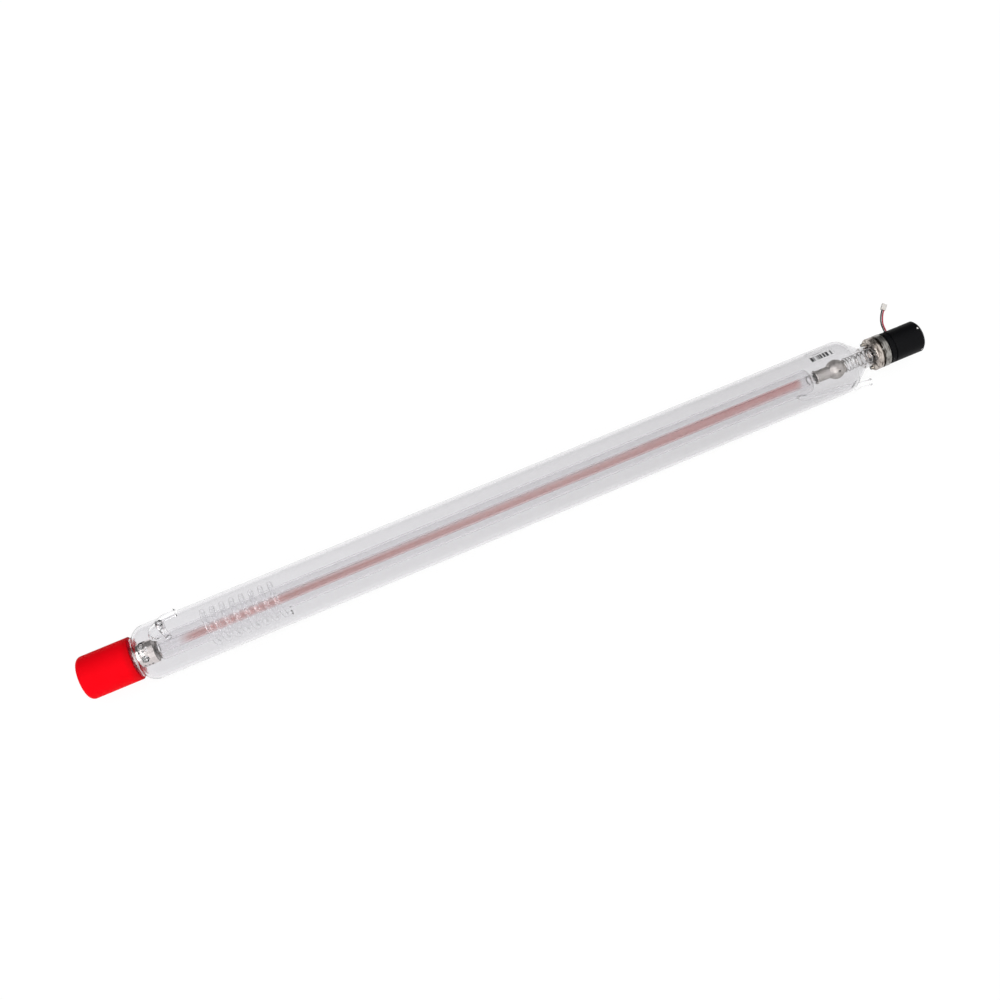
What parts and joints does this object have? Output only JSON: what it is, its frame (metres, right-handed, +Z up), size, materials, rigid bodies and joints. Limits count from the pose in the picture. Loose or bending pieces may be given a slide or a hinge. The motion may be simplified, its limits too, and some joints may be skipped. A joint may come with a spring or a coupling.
{
  "type": "sealed co2 laser tube",
  "caption": "Long sealed glass CO2 laser tube with water jacket, coated discharge tube, gas return coil, red high-voltage cap, nickel flange and black pointer head with a short wire pair.",
  "frame": {"origin": "on the tube's axis, halfway along the straight part of the outer jacket, where the clamps hold it", "axes": "+X along the axis towards the beam exit, +Z up, along the anode water nozzle's stem"},
  "size_m": [1.3025, 0.095, 0.1129],
  "materials": {
    "jacket_glass": "clear borosilicate, polished",
    "water_glass": "clear borosilicate, polished",
    "coated_glass": "clear glass with a thin pink-red coating",
    "blown_glass": "clear hand-blown glass",
    "nickel": "bright turned nickel plate",
    "steel": "bright steel",
    "brass": "turned",
    "silicone_red": "smooth, slightly glossy",
    "black_anodised": "black anodised, satin",
    "mirror_coated": "polished, gold coated",
    "lens_amber": "polished amber optic",
    "insulation_red": "smooth",
    "insulation_black": "smooth",
    "connector_white": "moulded",
    "label_film": "smooth film"
  },
  "bodies": {
    "root": {"outer_jacket": "jacket_glass", "water_jacket": "water_glass", "discharge_tube": "coated_glass", "gas_return_coil": "blown_glass", "anode_water_nozzle": "blown_glass", "cathode_water_nozzle": "blown_glass", "anode_sleeve": "nickel", "anode_seal_tube": "nickel", "anode_terminal": "brass", "rear_mirror_seat": "nickel", "rear_mirror": "mirror_coated", "rear_mirror_cover": "nickel", "rear_mirror_screws": "steel", "high_voltage_cap": "silicone_red", "cathode": "nickel", "cathode_spring": "steel", "output_flange": "nickel", "adjusting_screws": "steel", "mirror_ring": "nickel", "output_mirror": "lens_amber", "mirror_retainer": "steel", "pointer_collar": "black_anodised", "pointer_housing": "black_anodised", "pointer_set_screws": "steel", "beam_combiner": "lens_amber", "pointer_module": "brass", "wire_red": "insulation_red", "wire_black": "insulation_black", "wire_connector": "connector_white", "label": "label_film"}
  },
  "joints": []
}
